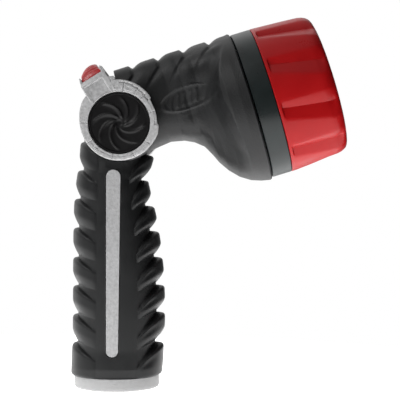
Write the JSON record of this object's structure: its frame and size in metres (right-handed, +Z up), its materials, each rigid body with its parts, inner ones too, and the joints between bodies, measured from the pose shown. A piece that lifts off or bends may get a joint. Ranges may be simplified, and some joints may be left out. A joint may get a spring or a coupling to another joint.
{
  "type": "hose nozzle",
  "caption": "Pistol-grip hose nozzle with a finned handle, an upward-tilted bell head, a turning spray-pattern dial and a thumb lever that works the shut-off valve.",
  "frame": {"origin": "centre of the hose inlet mouth, on the brass insert's lower face", "axes": "+Z up the handle, away from the hose; +X towards the spray head; +Y across the nozzle"},
  "size_m": [0.1134, 0.0628, 0.1522],
  "materials": {
    "cast_metal": "fine sand-textured satin",
    "grip_rubber": "satin soft-touch rubber",
    "neck_rubber": "fine matte grain",
    "inlay_metal": "fine sand-textured satin",
    "brass": "machined",
    "seal_rubber": "smooth",
    "spring_steel": "drawn wire",
    "stainless": "plain",
    "lever_metal": "fine sand-textured satin",
    "red_pad": "satin",
    "cap_plastic": "satin",
    "collar_plastic": "satin",
    "dial_red": "satin",
    "chamber_plastic": "plain",
    "face_plastic": "satin"
  },
  "bodies": {
    "body": {"body_casting": "cast_metal", "grip_cover": "grip_rubber", "neck_cover": "neck_rubber", "grip_inlay_left": "inlay_metal", "grip_inlay_right": "inlay_metal", "inlet_insert": "brass", "hose_washer": "seal_rubber", "inlet_screen": "stainless", "valve_seat": "seal_rubber", "port_seal": "seal_rubber", "port_spring": "spring_steel", "detent_ball": "stainless", "detent_spring": "spring_steel", "dial_screw": "stainless", "dial_washer": "stainless"},
    "lever": {"thumb_lever": "lever_metal", "thumb_pad": "red_pad", "valve_plug": "brass", "plug_o_rings": "seal_rubber", "hub_cap_left": "cap_plastic", "hub_cap_right": "cap_plastic", "hub_screws": "stainless", "hub_washers": "stainless"},
    "dial": {"dial_base": "collar_plastic", "dial_grip": "dial_red", "chamber_block": "chamber_plastic", "shower_disc": "stainless", "spray_face": "face_plastic", "face_o_ring": "seal_rubber", "face_plug": "face_plastic"}
  },
  "joints": [
    {"name": "lever_hinge", "type": "hinge", "parent": "body", "child": "lever", "pos_m": [0.0023, 0, 0.1077], "axis": [0, -1, 0], "range_deg": [0, 65]},
    {"name": "dial_hinge", "type": "hinge", "parent": "body", "child": "dial", "pos_m": [0.05485, 0, 0.1156], "axis": [0.9563, 0, 0.2924], "continuous": true}
  ]
}
